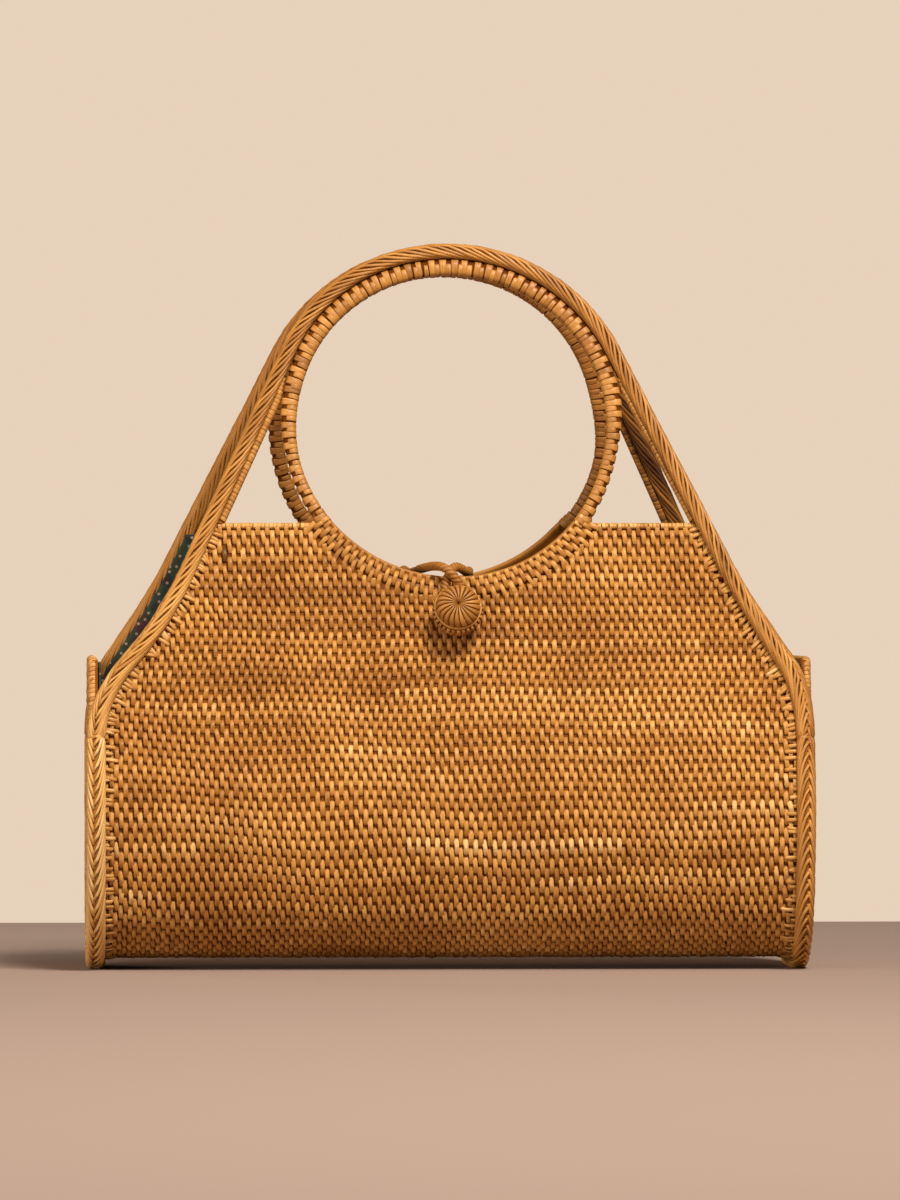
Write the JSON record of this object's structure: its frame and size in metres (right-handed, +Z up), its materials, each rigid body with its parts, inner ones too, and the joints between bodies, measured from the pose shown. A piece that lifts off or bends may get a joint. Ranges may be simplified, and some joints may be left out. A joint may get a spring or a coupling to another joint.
{
  "type": "woven handbag",
  "caption": "Woven rattan handbag with a rounded body, slanted plaited shoulders, round stitched hand holes, a cloth lining and a loop-and-toggle closure.",
  "frame": {"origin": "on the ground under the middle of the bag", "axes": "+Z up, front with the toggle towards -Y, +X to the right of someone looking at the front"},
  "size_m": [0.33, 0.1398, 0.3322],
  "materials": {
    "weave": "golden brown split rattan woven over coils, satin with worn lighter ridges",
    "plait": "golden brown flat rattan strands in a herringbone plait, satin",
    "cloth": "dark green and maroon patterned cotton, matt",
    "cord": "brown twisted rattan strand, satin"
  },
  "bodies": {
    "root": {"woven_body": "weave", "end_panel_left": "weave", "end_panel_right": "weave", "hand_ring_front": "weave", "hand_ring_back": "weave", "arch_leg_front_left": "weave", "arch_leg_front_right": "weave", "arch_leg_back_left": "weave", "arch_leg_back_right": "weave", "end_braid_left": "plait", "end_braid_right": "plait", "rim_braid_front": "plait", "rim_braid_back": "plait", "lining": "cloth", "toggle_button": "cord", "toggle_loop": "cord"}
  },
  "joints": []
}
